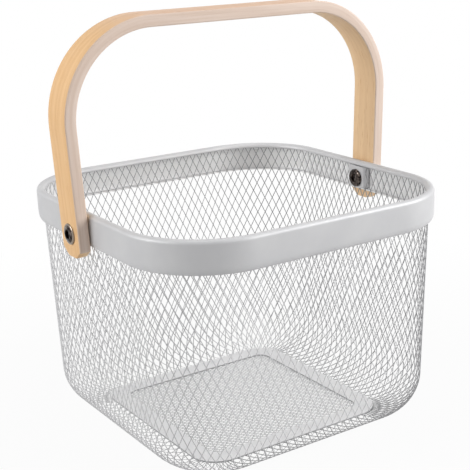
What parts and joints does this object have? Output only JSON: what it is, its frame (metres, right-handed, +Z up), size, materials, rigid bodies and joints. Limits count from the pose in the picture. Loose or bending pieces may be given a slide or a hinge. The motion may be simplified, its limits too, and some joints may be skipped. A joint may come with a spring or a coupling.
{
  "type": "handled mesh storage basket",
  "caption": "Rounded-square storage basket of expanded steel mesh with a plain rim band, a framed mesh floor and a bent wooden handle that swings on side pivots.",
  "frame": {"origin": "middle of the floor's underside, where the basket stands", "axes": "+Z up, +X along the handle's pivot axis, -Y towards the front wall"},
  "size_m": [0.274, 0.25, 0.3093],
  "materials": {
    "coated_steel": "satin silver-grey coating",
    "handle_wood": "pale close-grained wood, clear satin",
    "plated_steel": "dark polished plating"
  },
  "bodies": {
    "basket": {"rim_band": "coated_steel", "wall_mesh": "coated_steel", "floor_mesh": "coated_steel", "floor_frame": "coated_steel", "pivot_nut_left": "plated_steel", "pivot_nut_right": "plated_steel", "pivot_screw_left": "plated_steel", "pivot_screw_right": "plated_steel", "pivot_plate_left": "coated_steel", "pivot_plate_right": "coated_steel"},
    "bail": {"handle": "handle_wood"}
  },
  "joints": [
    {"name": "handle_swing", "type": "hinge", "parent": "basket", "child": "bail", "pos_m": [0, 0, 0.1655], "axis": [1, 0, 0], "range_deg": [-111, 111]}
  ]
}
